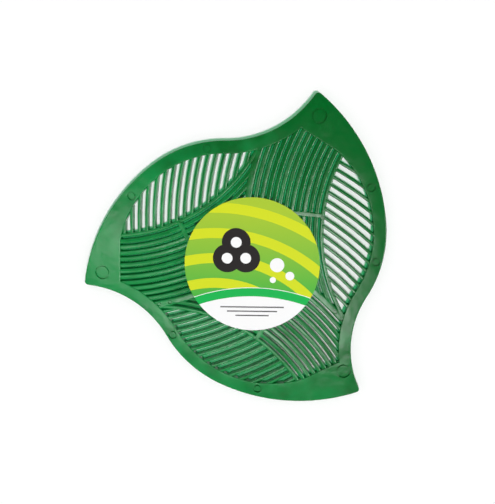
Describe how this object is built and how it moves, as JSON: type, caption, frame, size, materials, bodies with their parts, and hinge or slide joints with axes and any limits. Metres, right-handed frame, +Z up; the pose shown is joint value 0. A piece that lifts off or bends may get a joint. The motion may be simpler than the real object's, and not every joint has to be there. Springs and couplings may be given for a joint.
{
  "type": "urinal deodorizer screen",
  "caption": "Flat three-leaf pinwheel screen that lies over a urinal's drain: a broad rim round curved drainage ribs, with a round label on top.",
  "frame": {"origin": "point of the underside where the threefold axis of the outline passes through it", "axes": "+Z up, square to the flat underside; +X and +Y as right and up in the picture, with one tip 69 degrees round from +X towards +Y"},
  "size_m": [0.1794, 0.1833, 0.005],
  "materials": {
    "green_plastic": "soft glossy moulded plastic, slightly see-through, deep green",
    "printed_label": "satin printed paper, lime to green with a white lower part"
  },
  "bodies": {
    "root": {"screen_body": "green_plastic", "round_label": "printed_label"}
  },
  "joints": []
}
